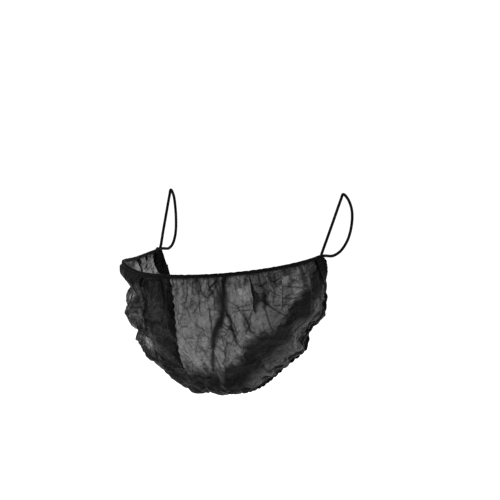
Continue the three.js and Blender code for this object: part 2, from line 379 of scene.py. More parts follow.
def mesh_object(name, points, faces):
    mesh = bpy.data.meshes.new(name)
    mesh.from_pydata([tuple(p) for p in points], [], faces)
    mesh.update()
    made = bpy.data.objects.new(name, mesh)
    bpy.context.scene.collection.objects.link(made)
    mesh.polygons.foreach_set("use_smooth", [True] * len(mesh.polygons))
    return made


def grid_faces(columns, rows, closed=False):
    faces = []
    around = rows if closed else rows - 1
    for i in range(columns - 1):
        for j in range(around):
            k = (j + 1) % rows
            faces.append((i * rows + j, i * rows + k, (i + 1) * rows + k, (i + 1) * rows + j))
    return faces


def capped_faces(rings, around):
    """Faces of a tube whose two ends are fans to its last two vertices."""
    faces = grid_faces(rings, around, closed=True)
    first, last = rings * around, rings * around + 1
    base = (rings - 1) * around
    for k in range(around):
        after = (k + 1) % around
        faces.append((k, first, after))
        faces.append((base + after, last, base + k))
    return faces


def set_uv(obj, coords):
    """One UV per vertex, in metres over the flat cloth."""
    mesh = obj.data
    layer = mesh.uv_layers.new(name=UV_NAME)
    index = np.empty(len(mesh.loops), int)
    mesh.loops.foreach_get("vertex_index", index)
    layer.data.foreach_set("uv", np.asarray(coords, float)[index].ravel())


def set_attribute(obj, name, values):
    layer = obj.data.attributes.new(name, "FLOAT", "POINT")
    layer.data.foreach_set("value", np.asarray(values, float).ravel())


# Sharp creases: width in mm, darkness from 0 to 1, and the path in (side, down).
CREASES = [
    (4.00, 0.96, [
        (0.392, 0.010), (0.374, 0.062), (0.361, 0.102), (0.357, 0.142), (0.357, 0.184), (0.344, 0.228),
    ]),
    (3.00, 0.97, [(0.346, 0.218), (0.326, 0.269), (0.305, 0.317), (0.282, 0.369), (0.262, 0.421)]),
    (2.00, 0.96, [(0.262, 0.421), (0.241, 0.479), (0.211, 0.551), (0.188, 0.599)]),
    (0.60, 0.90, [(0.290, 0.024), (0.303, 0.060), (0.311, 0.092), (0.318, 0.128), (0.321, 0.198)]),
    (0.55, 0.80, [(0.357, 0.018), (0.334, 0.052), (0.316, 0.082), (0.298, 0.106), (0.280, 0.144)]),
    (0.60, 0.90, [(0.288, 0.160), (0.287, 0.200), (0.283, 0.240), (0.287, 0.283), (0.287, 0.325)]),
    (0.50, 0.60, [(0.262, 0.088), (0.270, 0.108), (0.285, 0.124)]),
    (1.40, 0.96, [(0.364, 0.190), (0.379, 0.236), (0.385, 0.281), (0.387, 0.373), (0.395, 0.449)]),
    (0.60, 0.90, [(0.344, 0.263), (0.361, 0.291), (0.379, 0.315), (0.382, 0.335)]),
    (0.55, 0.85, [(0.387, 0.158), (0.412, 0.176), (0.430, 0.194), (0.440, 0.228), (0.459, 0.307)]),
    (1.20, 0.93, [(0.459, 0.303), (0.469, 0.337), (0.466, 0.377), (0.477, 0.405), (0.490, 0.423)]),
    (0.50, 0.80, [(0.536, 0.212), (0.512, 0.246), (0.487, 0.291), (0.467, 0.319)]),
    (0.60, 0.90, [(0.523, 0.058), (0.517, 0.092), (0.528, 0.118), (0.525, 0.158), (0.515, 0.206)]),
    (2.20, 0.93, [(0.535, 0.138), (0.548, 0.178), (0.546, 0.230), (0.535, 0.281)]),
    (2.00, 0.88, [(0.578, 0.096), (0.591, 0.150), (0.578, 0.202), (0.582, 0.248)]),
    (0.40, 0.50, [(0.423, 0.269), (0.420, 0.313), (0.408, 0.343)]),
    (0.50, 0.70, [(0.453, 0.307), (0.446, 0.345), (0.464, 0.371)]),
    (0.50, 0.65, [(0.440, 0.022), (0.461, 0.042), (0.469, 0.070)]),
    (0.40, 0.50, [(0.403, 0.166), (0.408, 0.194), (0.433, 0.216)]),
    (0.50, 0.65, [(0.145, 0.349), (0.185, 0.355), (0.221, 0.349), (0.252, 0.357)]),
    (0.50, 0.55, [(0.134, 0.375), (0.185, 0.375), (0.231, 0.385)]),
    (0.45, 0.50, [(0.178, 0.323), (0.203, 0.341), (0.237, 0.339)]),
    (0.45, 0.60, [(0.331, 0.339), (0.324, 0.389), (0.324, 0.437), (0.320, 0.485)]),
    (0.50, 0.65, [(0.380, 0.347), (0.379, 0.393), (0.377, 0.441), (0.369, 0.489)]),
    (0.60, 0.70, [(0.397, 0.387), (0.403, 0.433), (0.405, 0.493)]),
    (0.50, 0.60, [(0.283, 0.240), (0.285, 0.283), (0.275, 0.345), (0.252, 0.397), (0.226, 0.451)]),
    (0.80, 0.93, [
        (0.546, 0.124), (0.573, 0.230), (0.597, 0.248), (0.622, 0.297), (0.650, 0.347), (0.681, 0.407),
    ]),
    (0.60, 0.85, [(0.650, 0.060), (0.650, 0.122), (0.655, 0.166), (0.660, 0.210), (0.674, 0.222)]),
    (0.55, 0.80, [
        (0.678, 0.184), (0.696, 0.188), (0.729, 0.186), (0.771, 0.216), (0.814, 0.269), (0.824, 0.313),
    ]),
    (0.70, 0.85, [
        (0.679, 0.200), (0.696, 0.248), (0.711, 0.283), (0.737, 0.309), (0.770, 0.337), (0.808, 0.355),
    ]),
    (0.50, 0.70, [(0.753, 0.164), (0.734, 0.182), (0.706, 0.194), (0.688, 0.184)]),
    (0.90, 0.70, [(0.762, 0.110), (0.765, 0.156), (0.750, 0.186)]),
    (0.50, 0.65, [(0.706, 0.287), (0.696, 0.357), (0.681, 0.423), (0.661, 0.485), (0.647, 0.521)]),
    (1.00, 0.80, [(0.605, 0.112), (0.605, 0.170), (0.586, 0.210), (0.563, 0.226)]),
    (0.80, 0.80, [(0.950, 0.250), (0.952, 0.499), (0.931, 0.543), (0.911, 0.641)]),
    (0.60, 0.75, [(0.878, 0.549), (0.857, 0.599), (0.824, 0.607), (0.801, 0.655)]),
    (0.50, 0.70, [(0.927, 0.735), (0.883, 0.647), (0.849, 0.675), (0.827, 0.695)]),
    (0.50, 0.60, [(0.701, 0.050), (0.691, 0.098), (0.688, 0.154)]),
    (0.80, 0.70, [(0.643, 0.018), (0.645, 0.060)]),
    (0.60, 0.60, [(0.604, 0.022), (0.610, 0.068), (0.609, 0.120)]),
    (1.20, 0.97, [(-0.481, 0.301), (-0.331, 0.220), (-0.231, 0.200), (-0.180, 0.222), (-0.172, 0.257)]),
    (0.60, 0.93, [(-0.477, 0.309), (-0.430, 0.319), (-0.313, 0.295), (-0.311, 0.323)]),
    (1.60, 0.95, [(-0.203, 0.267), (-0.155, 0.285), (-0.091, 0.283), (-0.045, 0.265)]),
    (1.20, 0.95, [(-0.336, 0.377), (-0.306, 0.383), (-0.244, 0.357), (-0.185, 0.317)]),
    (1.20, 0.95, [(-0.425, 0.467), (-0.338, 0.419), (-0.407, 0.505), (-0.385, 0.553)]),
    (1.00, 0.95, [(-0.354, 0.138), (-0.298, 0.144), (-0.280, 0.180), (-0.338, 0.206)]),
    (0.50, 0.92, [(-0.356, 0.244), (-0.293, 0.257), (-0.254, 0.269), (-0.231, 0.289)]),
    (0.50, 0.92, [(-0.211, 0.371), (-0.270, 0.429), (-0.249, 0.459), (-0.398, 0.587)]),
    (3.50, 0.80, [(0.040, 0.270), (0.030, 0.360), (-0.010, 0.440)]),
    (3.00, 0.60, [(0.220, 0.010), (0.235, 0.070)]),
    (0.60, 0.70, [(-0.860, 0.050), (-0.800, 0.200), (-0.760, 0.360), (-0.700, 0.480)]),
    (0.90, 0.80, [(-0.740, 0.030), (-0.690, 0.180), (-0.700, 0.300)]),
    (0.60, 0.80, [(-0.690, 0.180), (-0.620, 0.240), (-0.560, 0.220)]),
    (0.50, 0.70, [(-0.820, 0.380), (-0.740, 0.420), (-0.660, 0.400)]),
]

# Where the far side's crumpled cloth stands out or in, at places from the top edge down, in mm.
FAR_EDGE = {
    "down": [0.0, 0.02, 0.06, 0.10, 0.13, 0.17, 0.205, 0.24, 0.27, 0.31, 0.323, 0.35, 0.38, 0.41, 0.47, 0.52],
    "out": [0.8, 2.5, 1.0, -1.4, -3.5, -4.0, -1.2, 0.2, -1.8, 1.5, 3.2, 1.5, -4.0, -4.5, -2.0, 0.5],
}
FAR_SIDE = -0.51
# How far along the side such a place reaches, out and in, the share of other folds that it replaces,
# and where these places fade out on the way down.
FAR_OUT_REACH = 0.16
FAR_IN_REACH = 0.34
FAR_HOLD = 0.75
FAR_ENDS = (0.46, 0.54)
# Soft curls of the cloth: (side, down), reach and height in mm. Each runs this far along the side.
CURL_RUN = 1e-3
CURLS = [
    (-0.50, 0.515, 5.5, 5.0),
    (-0.52, 0.325, 4.0, 1.5),
    (-0.50, 0.24, 3.5, 1.5),
]

# The band above the hem, partly doubled cloth and partly painted shade: at each side, where it begins and
# ends on the way down.
DARK_BAND = {
    "side": [-1.0, -0.5, -0.2, 0.1, 0.3, 0.4, 0.5, 0.6, 0.7, 0.8, 1.0],
    "low": [0.5, 0.54, 0.56, 0.61, 0.57, 0.54, 0.46, 0.43, 0.40, 0.33, 0.1],
    "high": [0.6, 0.70, 0.78, 0.82, 0.79, 0.74, 0.70, 0.66, 0.62, 0.60, 0.6],
}

# Places: middle (side, down), reach across and down, and how much denser (above 0) or thinner (below 0). The
# strong openings on the far side are partly thin cloth and partly painted highlights.
PATCHES = [
    (0.45, 0.11, 0.05, 0.09, -0.35),
    (0.20, 0.47, 0.08, 0.09, -0.20),
    (0.14, 0.07, 0.03, 0.03, -0.35),
    (0.60, 0.36, 0.10, 0.10, 0.45),
    (0.72, 0.13, 0.025, 0.04, -0.50),
    (0.84, 0.07, 0.03, 0.04, -0.40),
    (-0.40, 0.18, 0.07, 0.040, -4.5),
    (-0.38, 0.30, 0.09, 0.040, -5.0),
    (-0.33, 0.34, 0.05, 0.035, -2.5),
    (-0.28, 0.45, 0.06, 0.060, -4.0),
    (-0.62, 0.28, 0.10, 0.060, -3.6),
    (-0.60, 0.45, 0.12, 0.080, -3.6),
    (-0.56, 0.64, 0.10, 0.080, -3.6),
    (-0.80, 0.45, 0.22, 0.50, -1.2),
    (-0.15, 0.35, 0.16, 0.25, -0.5),
    (0.38, 0.84, 0.08, 0.06, -0.10),
    (0.66, 0.76, 0.06, 0.10, -0.10),
    (-0.32, 0.05, 0.16, 0.07, 0.6),
    (0.98, 0.05, 0.10, 0.25, 0.97),
    (-0.98, 0.05, 0.08, 0.20, 0.7),
    (0.60, 0.08, 0.10, 0.07, 0.5),
    (0.80, 0.02, 0.10, 0.05, 0.6),
]


def path_distance(side, down, path):
    """Distance over the cloth to a path of straight parts, and the share of the way along it."""
    parts = [(*a, *b) for a, b in zip(path, path[1:])]
    lengths = [math.hypot((p[2] - p[0]) * HALF_LENGTH, (p[3] - p[1]) * MIDDLE_LENGTH) for p in parts]
    nearest = np.full(side.shape, 9.0)
    share = np.zeros_like(side)
    passed = 0.0
    for part, length in zip(parts, lengths):
        away, along = line_distance(side, down, part)
        nearer = away < nearest
        nearest = np.where(nearer, away, nearest)
        share = np.where(nearer, (passed + along * length) / sum(lengths), share)
        passed += length
    return nearest, share


def crease_relief(side, down, rows):
    """Depth and darkness of sharp creases."""
    depth = np.zeros_like(side)
    dark = np.zeros_like(side)
    for wide, shade, path in rows:
        away, share = path_distance(side, down, path)
        width = wide * MM * (0.5 + 0.5 * np.sin(math.pi * np.clip(share, 0.08, 0.92)))
        ridge = np.exp(-np.abs(away / width) ** (1.6 + min(1.6, wide / 2)))
        depth = np.maximum(depth, ridge * min(wide, CREASE_WIDEST) * CREASE_DEPTH * MM)
        dark = np.maximum(dark, ridge * shade)
    return depth, dark


def random_creases(count):
    """Short creases everywhere, steep near the elastic edges and any way between them."""
    rows = []
    for _ in range(count):
        side = rng.uniform(-0.95, 0.95)
        down = rng.uniform(0.02, 0.98)
        length = rng.uniform(*LOOSE_LENGTH) * MM
        steep = 1 - min(1, 4 * min(down, 1 - down))
        lean = rng.uniform(-1, 1) * math.pi * (0.5 - 0.42 * steep)
        to_side = side + length * math.sin(lean) / HALF_LENGTH
        to_down = down + length * math.cos(lean) / MIDDLE_LENGTH
        width = rng.uniform(*LOOSE_WIDTH)
        shade = rng.uniform(*LOOSE_SHADE)
        rows.append((width, shade, [(side, down), (to_side, to_down)]))
    return rows


def crumple(u, v, cell, seed):
    """Creased facets: a cell pattern that is 0 on sharp lines, up in some cells, down in others."""
    picks = np.random.default_rng(seed)
    size = 64
    jitter = picks.uniform(0.1, 0.9, (size, size, 2))
    way = picks.choice([-1.0, -0.6, 0.7, 1.0], (size, size))
    x, y = u / cell, v / cell
    i, j = np.floor(x).astype(int), np.floor(y).astype(int)
    best = np.full(x.shape, 9.0)
    second = np.full(x.shape, 9.0)
    sign = np.zeros(x.shape)
    for di in (-1, 0, 1):
        for dj in (-1, 0, 1):
            ci, cj = i + di, j + dj
            spot = jitter[ci % size, cj % size]
            away = np.hypot(ci + spot[..., 0] - x, cj + spot[..., 1] - y)
            nearer = away < best
            second = np.where(nearer, best, np.minimum(second, away))
            sign = np.where(nearer, way[ci % size, cj % size], sign)
            best = np.where(nearer, away, best)
    edge = second - best
    return sign * np.minimum(edge, 0.7) ** 0.8, edge * cell


def patchy(u, v, cell, seed):
    """A smooth random share from 0 to 1 that comes and goes over the cloth."""
    picks = np.random.default_rng(seed)
    total = np.zeros_like(u)
    for _ in range(5):
        turn = picks.uniform(0, 2 * math.pi)
        reach = cell * picks.uniform(1.6, 3.2)
        phase = picks.uniform(0, 6)
        total += np.sin(2 * math.pi * (u * math.cos(turn) + v * math.sin(turn)) / reach + phase)
    return rising(-1.2, 1.4, total)


def gathers(u, from_edge, pitch, seed):
    """Fine pleats square to an elastic edge that merge into wider ones away from it."""
    picks = np.random.default_rng(seed)
    total = np.zeros_like(u)
    for level, (reach, height) in enumerate(PLEATS):
        step = pitch * PLEAT_WIDENING**level
        phase = picks.uniform(0, 1)
        wander = 0.33 * np.sin(2 * math.pi * (u / (5.3 * step) + phase))
        wander += 0.2 * np.sin(2 * math.pi * (u / (2.1 * step) + 2 * phase))
        wave = 1 - 2 * np.abs(np.sin(math.pi * (u / step + wander)))
        strength = 0.6 + 0.4 * np.sin(2 * math.pi * (u / (7.7 * step) + 3 * phase))
        fade = np.exp(-((from_edge / (reach * MM)) ** 2))
        total += height * MM * wave * strength * fade
    return total


def refine(grid):
    """A grid twice as fine, through cubic curves in both directions."""
    for axis in (0, 1):
        moved = np.moveaxis(grid, axis, 0)
        before = np.concatenate([2 * moved[:1] - moved[1:2], moved[:-2]])
        after = np.concatenate([moved[2:], 2 * moved[-1:] - moved[-2:-1]])
        middle = (9 * (moved[:-1] + moved[1:]) - before - after) / 16
        fine = np.empty((2 * len(moved) - 1,) + moved.shape[1:])
        fine[0::2] = moved
        fine[1::2] = middle
        grid = np.moveaxis(fine, 0, axis)
    return grid


def smooth_grid(grid, times):
    for _ in range(times):
        for axis in (0, 1):
            moved = np.moveaxis(grid, axis, 0)
            inner = (moved[:-2] + 2 * moved[1:-1] + moved[2:]) / 4
            moved = np.concatenate([moved[:1], inner, moved[-1:]])
            grid = np.moveaxis(moved, 0, axis)
    return grid


def crumpled_by_cloth(grid, side, down):
    """Lets a Cloth simulation buckle the sheet between its held edges, and returns the grid."""
    columns, rows = grid.shape[:2]
    sheet = mesh_object("cloth_trial", grid.reshape(-1, 3) * SIM_SCALE, grid_faces(columns, rows))
    held = sheet.vertex_groups.new(name="held")
    edge = np.minimum(down, 1 - down)
    firm = np.maximum(falling(0.0, SIM_EDGE_HELD, edge), rising(SIM_END_HELD, END_SHARE, np.abs(side)))
    weights = np.clip(SIM_HOLD + (1 - SIM_HOLD) * firm, 0, 1).ravel()
    for index, weight in enumerate(weights):
        held.add([index], float(weight), "REPLACE")
    cloth = sheet.modifiers.new("cloth", "CLOTH")
    settings = cloth.settings
    settings.quality = 5
    settings.mass = 0.02
    settings.air_damping = 3
    settings.tension_stiffness = 12
    settings.compression_stiffness = 12
    settings.shear_stiffness = 4
    settings.bending_stiffness = 0.06
    settings.tension_damping = 3
    settings.compression_damping = 3
    settings.shear_damping = 3
    settings.vertex_group_mass = "held"
    settings.pin_stiffness = 1.0
    settings.shrink_min = -SIM_GROWTH
    settings.effector_weights.gravity = 0
    cloth.collision_settings.use_self_collision = False
    scene = bpy.context.scene
    for number in range(1, SIM_FRAMES + 1):
        scene.frame_set(number)
    graph = bpy.context.evaluated_depsgraph_get()
    solved = sheet.evaluated_get(graph).to_mesh()
    points = np.empty(len(solved.vertices) * 3)
    solved.vertices.foreach_get("co", points)
    bpy.data.objects.remove(sheet)
    scene.frame_set(1)
    return points.reshape(grid.shape) / SIM_SCALE


def kept_near(grid, base, normal):
    """Keeps the small folds of the solved cloth, without its wide bulges, close to its base."""
    moved = grid - base
    along = (moved * normal).sum(-1, keepdims=True)
    bulge = smooth_grid(along, BULGE_ROUNDS)
    capped = np.clip(along - BULGE_SHARE * bulge, -SINK_CAP, STAND_CAP)
    across = moved - along * normal
    length = np.linalg.norm(across, axis=-1, keepdims=True)
    across *= np.minimum(1, SLIDE_CAP / np.maximum(length, 1e-9))
    return base + capped * normal + across


def net_grid():
    """The pouch with its folds, pleats and curls, the plain pouch, and the side and down of each point."""
    side, down = np.meshgrid(
        np.linspace(-CLOTH_END, CLOTH_END, NET_COLUMNS), np.linspace(0, 1, NET_ROWS), indexing="ij"
    )
    plain = pouch_points(side, down, SEAT)
    normal = grid_normals(plain)
    edges = rising(0, 0.05, down) * falling(0.95, 1, down)
    corners = falling(0.86, END_SHARE, np.abs(side))
    shape = edges * corners * (fold_offset(side, down) + ripple_offset(side, down))
    u, v = side * HALF_LENGTH, down * MIDDLE_LENGTH
    near_edges = rising(0, 0.03, down) * falling(0.97, 1, down)
    fine = gathers(u, v, TOP_PLEAT_PITCH, 5) + gathers(u, MIDDLE_LENGTH - v, HEM_PLEAT_PITCH, 6)
    fine += BROAD_HEIGHT * MM * crumple(u, v, BROAD_CELL, 11)[0]
    base = plain + normal * shape[..., None]
    grid = base + normal * (near_edges * fine)[..., None]
    grid = crumpled_by_cloth(grid, side, down)
    grid = kept_near(grid, base, normal)
    out = np.interp(down, FAR_EDGE["down"], FAR_EDGE["out"]) * MM
    across = np.where(out > 0, FAR_OUT_REACH, FAR_IN_REACH)
    reach = np.exp(-(((side - FAR_SIDE) / across) ** 2)) * falling(*FAR_ENDS, down)
    for at, low, wide, high in CURLS:
        away, _ = line_distance(side, down, (at, low, at + CURL_RUN, low))
        grid = grid + normal * (high * MM * np.exp(-((away / (wide * MM)) ** 1.5)))[..., None]
    grid = grid + (FAR_HOLD * reach)[..., None] * (plain - grid) + normal * (reach * out)[..., None]
    return grid, plain, side, down


def sheer_cloth():
    """The cloth with its creases and facets, and the attribute that sets how dense or open it is, with
    painted shade and painted highlights in it.
    """
    grid, plain, side, down = net_grid()
    grid, plain, side, down = (refine(a) for a in (grid, plain, side, down))
    u, v = side * HALF_LENGTH, down * MIDDLE_LENGTH
    edges = rising(0, 0.03, down) * falling(0.97, 1, down)
    corners = falling(0.93, END_SHARE, np.abs(side))
    facets, wide_away = crumple(u + 0.15 * v, v * 0.6, WIDE_CELL, 21)
    grains, fine_away = crumple(u - 0.1 * v, v * 0.7, FINE_CELL, 22)
    small = facets * WIDE_HEIGHT * MM + grains * FINE_HEIGHT * MM
    wide_lines = WIDE_LINE * np.exp(-((wide_away / (0.7 * MM)) ** 2)) * patchy(u, v, 13 * MM, 41)
    fine_lines = FINE_LINE * np.exp(-((fine_away / (0.5 * MM)) ** 2)) * patchy(u, v, 9 * MM, 42)
    lines = np.maximum(wide_lines, fine_lines)
    depth, dark = crease_relief(side, down, CREASES)
    loose_depth, loose_dark = crease_relief(side, down, random_creases(LOOSE_COUNT))
    relief = small - depth - loose_depth * LOOSE_SHARE
    grid = grid + grid_normals(grid) * (edges * corners * relief)[..., None]
    creased = 1 - (1 - dark) * (1 - LOOSE_SHARE * loose_dark) * (1 - lines)
    shards, _ = crumple(u - 0.3 * v, v * 0.8, SHARD_CELL, 23)
    thinness = 0.5 + 0.5 * rising(-0.25, 0.3, shards)
    fullness_and_painted_light = cloth_fullness_and_painted_light(grid, plain, side, down, creased, thinness)
    sheet = mesh_object("net_cloth", grid.reshape(-1, 3), grid_faces(*grid.shape[:2]))
    set_uv(sheet, np.stack([u.ravel(), v.ravel()], axis=-1))
    set_attribute(sheet, "fullness_and_painted_light", fullness_and_painted_light)
    return sheet


def cloth_fullness_and_painted_light(grid, plain, side, down, dark, thinness):
    """How dense the cloth is: 0 in one flat layer, up to 1 where it doubles, below 0 where it opens. It also
    holds painted shade in the band above the hem and painted highlights in the far side's wide openings.
    """
    steep = 1 - np.clip((grid_normals(grid) * grid_normals(plain)).sum(-1), 0, 1)
    folds = np.clip(1.5 * smooth_grid(steep[..., None], 1)[..., 0], 0, FOLD_DENSITY)
    begins = np.interp(side, DARK_BAND["side"], DARK_BAND["low"]) + 0.06 * (thinness - 0.75)
    ends = np.interp(side, DARK_BAND["side"], DARK_BAND["high"])
    # The band above the hem: denser where the cloth doubles, and darkened further as painted shade.
    band = BAND_DENSITY_AND_SHADE * rising(begins - 0.075, begins + 0.05, down) * falling(ends - 0.05, ends + 0.1, down)
    patches = np.zeros_like(side)
    for at, low, across, tall, amount in PATCHES:
        away = ((side - at) / across) ** 2 + ((down - low) / tall) ** 2
        patches += amount * np.exp(-away)
    edge = np.minimum(down, 1 - down) * MIDDLE_LENGTH
    seams = SEAM_DENSITY * falling(0.3 * MM, 3.2 * MM, edge)
    lower = LOWER_DENSITY * rising(0.55, 0.75, down)
    light = (1 - dark) * (1 - folds) * (1 - band) * (1 - seams) * (1 - lower)
    light *= 1 - np.clip(patches, 0, PATCH_DENSITY)
    # The thinnest places, partly thin cloth and partly painted highlights, are broken up by the crumple's
    # facets.
    crinkled = 0.12 + 0.88 * (2 * thinness - 1) ** 2
    thin_and_highlit = np.clip(patches, -1, 0) * thinness + np.minimum(patches + 1, 0) * crinkled
    return np.clip(1 - light + thin_and_highlit * (1 - 0.7 * dark), THINNEST, DENSEST)


def frames_along(points):
    """Two directions square to a path at each of its points, turning as little as possible."""
    tangent = unit(np.gradient(points, axis=0))
    first = np.cross(tangent[0], [0.0, 0.0, 1.0])
    first /= np.linalg.norm(first)
    sides = [first]
    for k in range(1, len(points)):
        turned = sides[-1] - tangent[k] * np.dot(sides[-1], tangent[k])
        sides.append(turned / np.linalg.norm(turned))
    side = np.array(sides)
    return side, np.cross(tangent, side)


def tube(name, points, radius_at, around):
    """A closed tube along a path. radius_at takes the length along it and the turn round it."""
    along = lengths_along(points)
    one, two = frames_along(points)
    turn = np.linspace(0, 2 * math.pi, around, endpoint=False)
    length, angle = np.meshgrid(along, turn, indexing="ij")
    radius = radius_at(length, angle)
    ring = np.cos(angle)[..., None] * one[:, None] + np.sin(angle)[..., None] * two[:, None]
    verts = (points[:, None] + ring * radius[..., None]).reshape(-1, 3)
    verts = np.concatenate([verts, points[:1], points[-1:]])
    made = mesh_object(name, verts, capped_faces(len(points), around))
    coords = np.stack([length.ravel(), angle.ravel() * radius.mean()], axis=-1)
    coords = np.concatenate([coords, [[0, 0], [along[-1], 0]]])
    set_uv(made, coords)
    return made


def elastic_edge(name, edge_at, ruche, seed):
    """An elastic edge with the cloth drawn up in small ribs round it."""
    side = np.linspace(-CLOTH_END, CLOTH_END, EDGE_RINGS)
    points = edge_at(side)
    out = outward_at(side)
    u = side * HALF_LENGTH
    weave = np.sin(2 * math.pi * (u / WEAVE_PITCH + 0.3 * np.sin(u / (9 * MM))))
    rolled = np.sin(2 * math.pi * (u / ROLL_PITCH + 0.4 * np.sin(u / (7 * MM)) + 0.2))
    points = points + out * (ruche * 0.5 * MM * weave)[:, None]
    points[:, 2] += ruche * 0.4 * MM * rolled
    picks = np.random.default_rng(seed)
    phases = picks.uniform(0, 2 * math.pi, 3)

    def radius(length, angle):
        rib = np.sin(2 * math.pi * length / RIB_PITCH + 1.3 * np.sin(angle) + phases[0])
        slow = np.sin(2 * math.pi * length / (5.7 * MM) + 2 * angle + phases[1])
        slow += np.sin(2 * math.pi * length / (8.9 * MM) - angle + phases[2])
        return EDGE_ROUND / 2 * (1 - 0.14 * ruche + 0.05 * rib + (0.03 + 0.05 * ruche) * slow)

    return tube(name, points, radius, EDGE_AROUND)


def knot_point():
    return np.array([CORNER_HALF_WIDTH + KNOT_OUT, -CORNER_REACH + KNOT_RISE, -CORNER_DROP + KNOT_RISE])


def gather_point(down, up):
    """A point in the middle of the left gathered end: down along its foot, and up towards the knot."""
    side = np.full(np.shape(down), END_SHARE - 0.01)
    foot = pouch_points(side, down, 0)
    step = 1e-3
    ahead = pouch_points(side, np.clip(down + step, 0, 1), 0)
    behind = pouch_points(side, np.clip(down - step, 0, 1), 0)
    tangent = unit(ahead - behind)
    reach = EDGE_ROUND / 2 * (rising(0.9, 1, down) - falling(0, 0.1, down))
    foot = foot + tangent * reach[..., None]
    return foot + (knot_point() - foot) * (0.8 * up)[..., None]


def gathered_end(way):
    """The bunched end of the cloth: pleats that run together towards the knot."""
    levels = np.linspace(0, 1, BUNCH_RINGS)
    turns = np.linspace(0, 1, BUNCH_AROUND, endpoint=False)
    up, turn = np.meshgrid(levels, turns, indexing="ij")
    down = 0.5 - 0.5 * np.cos(2 * math.pi * turn)
    face = np.sin(2 * math.pi * turn)
    middle = gather_point(down, up)
    lower, higher = (np.clip(down + step, 0, 1) for step in (BUNCH_STEP, -BUNCH_STEP))
    across = gather_point(lower, up) - gather_point(higher, up)
    after, before = (np.clip(up + step, 0, 1) for step in (BUNCH_STEP, -BUNCH_STEP))
    along = gather_point(down, after) - gather_point(down, before)
    normal = unit(np.cross(across, along))
    bend = 0.35 * np.sin(5 * up + 4 * down)
    pleat = 1 - 1.6 * np.abs(np.sin(math.pi * (BUNCH_PLEATS * down + bend)))
    small = np.sin(2 * math.pi * (BUNCH_FINE_PLEATS * down + 0.8 * np.sin(7 * up)))
    back = np.array(BUNCH_LEAN) * BUNCH_BACK
    middle = middle + back * (rising(0.3, 1, down) * rising(0, 0.7, up))[..., None]
    half = BUNCH_HALF * (0.4 + 0.8 * rising(0, 0.6, up)) * np.abs(face) ** 0.5 * np.sign(face)
    push = half * (1 + 0.22 * pleat + 0.05 * small)
    verts = (middle + normal * push[..., None]).reshape(-1, 3)
    ends = np.array([middle[0].mean(axis=0), middle[-1].mean(axis=0)])
    verts = np.concatenate([verts, ends])
    faces = capped_faces(BUNCH_RINGS, BUNCH_AROUND)
    if way < 0:
        verts = verts * [-1, 1, 1]
        faces = [tuple(reversed(corners)) for corners in faces]
    made = mesh_object("gathered_end_" + ("left" if way > 0 else "right"), verts, faces)
    coords = np.stack([(down * BUNCH_WIDE * MM).ravel(), (up * BUNCH_TALL * MM).ravel()], axis=-1)
    set_uv(made, np.concatenate([coords, [[0, 0], [0, BUNCH_TALL * MM]]]))
    set_attribute(made, "fullness_and_painted_light", np.full(len(verts), BUNCH_DENSITY))
    return made


def blend(x, start, end, a, b):
    """The place at x on the straight way from a, at start, to b, at end."""
    return (end - x) / (end - start) * a + (x - start) / (end - start) * b


def catmull_rom(points, per_span):
    """A smooth curve through a list of points, even in speed over uneven spans."""
    points = [np.asarray(p, float) for p in points]
    first = 2 * points[0] - points[1]
    last = 2 * points[-1] - points[-2]
    padded = [first] + points + [last]
    curve = []
    for k in range(len(points) - 1):
        p = padded[k : k + 4]
        t = [0.0]
        for a, b in zip(p, p[1:]):
            t.append(t[-1] + math.sqrt(np.linalg.norm(b - a)))
        for x in np.linspace(t[1], t[2], per_span, endpoint=False):
            lines = [blend(x, t[i], t[i + 1], p[i], p[i + 1]) for i in range(3)]
            arcs = [blend(x, t[i], t[i + 2], lines[i], lines[i + 1]) for i in range(2)]
            curve.append(blend(x, t[1], t[2], arcs[0], arcs[1]))
    curve.append(points[-1])
    return np.array(curve)


def even_steps(points, step):
    """The same path through points that lie about a step apart."""
    along = lengths_along(points)
    count = max(8, int(along[-1] / step))
    wanted = np.linspace(0, along[-1], count)
    return np.stack([np.interp(wanted, along, points[:, k]) for k in range(3)], axis=-1)


def above_gather(down, clear):
    """A point over the rim of the left gathered end. A clear well below 0 puts it inside."""
    rim = gather_point(np.array([down]), np.array([1.0]))[0]
    foot = gather_point(np.array([down]), np.array([0.0]))[0]
    upward = (rim - foot) / np.linalg.norm(rim - foot)
    return rim + upward * (LOOP_CLEARANCE + clear)


def loop_route():
    """Places along the left loop's cord, from its front root over the crown to its back root."""
    crown = np.array([CROWN_HALF_WIDTH, 0, CORD_ROUND / 2])
    front = above_gather(FRONT_ROOT, CORD_ROUND / 2)
    back = above_gather(BACK_ROOT, CORD_ROUND)
    shoulder = front + (crown - front) * 0.9
    shoulder[2] += 0.01 * CORNER_DROP
    shoulder[1] -= 0.02 * LOOP_BACK

    def behind(spread, reach, fall):
        return [CROWN_HALF_WIDTH + spread * LOOP_SPREAD, reach * LOOP_BACK, -fall * CORNER_DROP]

    return [
        above_gather(FRONT_ROOT, -LOOP_ROOT),
        front,
        front + (shoulder - front) * 0.33,
        front + (shoulder - front) * 0.66,
        shoulder,
        crown,
        behind(0.5, 0.6, 0.07),
        behind(0.9, 1.0, 0.26),
        behind(0.7, 1.05, 0.5),
        behind(0.1, 0.75, 0.74),
        behind(-0.7, 0.05, 0.92),
        behind(-1.4, -0.85, 1.0),
        back,
        above_gather(BACK_ROOT, -LOOP_ROOT),
    ]


def ear_loop(way):
    """A round knitted elastic cord, its stitches slanting both ways round it."""
    points = even_steps(catmull_rom(loop_route(), 40), CORD_STEP)
    points = points * [way, 1, 1]

    def radius(length, angle):
        turns = 2 * math.pi * length / BRAID_PITCH
        braid = np.abs(np.sin(2 * angle + turns)) * np.abs(np.sin(2 * angle - turns))
        return CORD_ROUND / 2 * (0.9 + 0.16 * braid)

    return tube("elastic_loop_" + ("left" if way > 0 else "right"), points, radius, CORD_AROUND)


# Materials


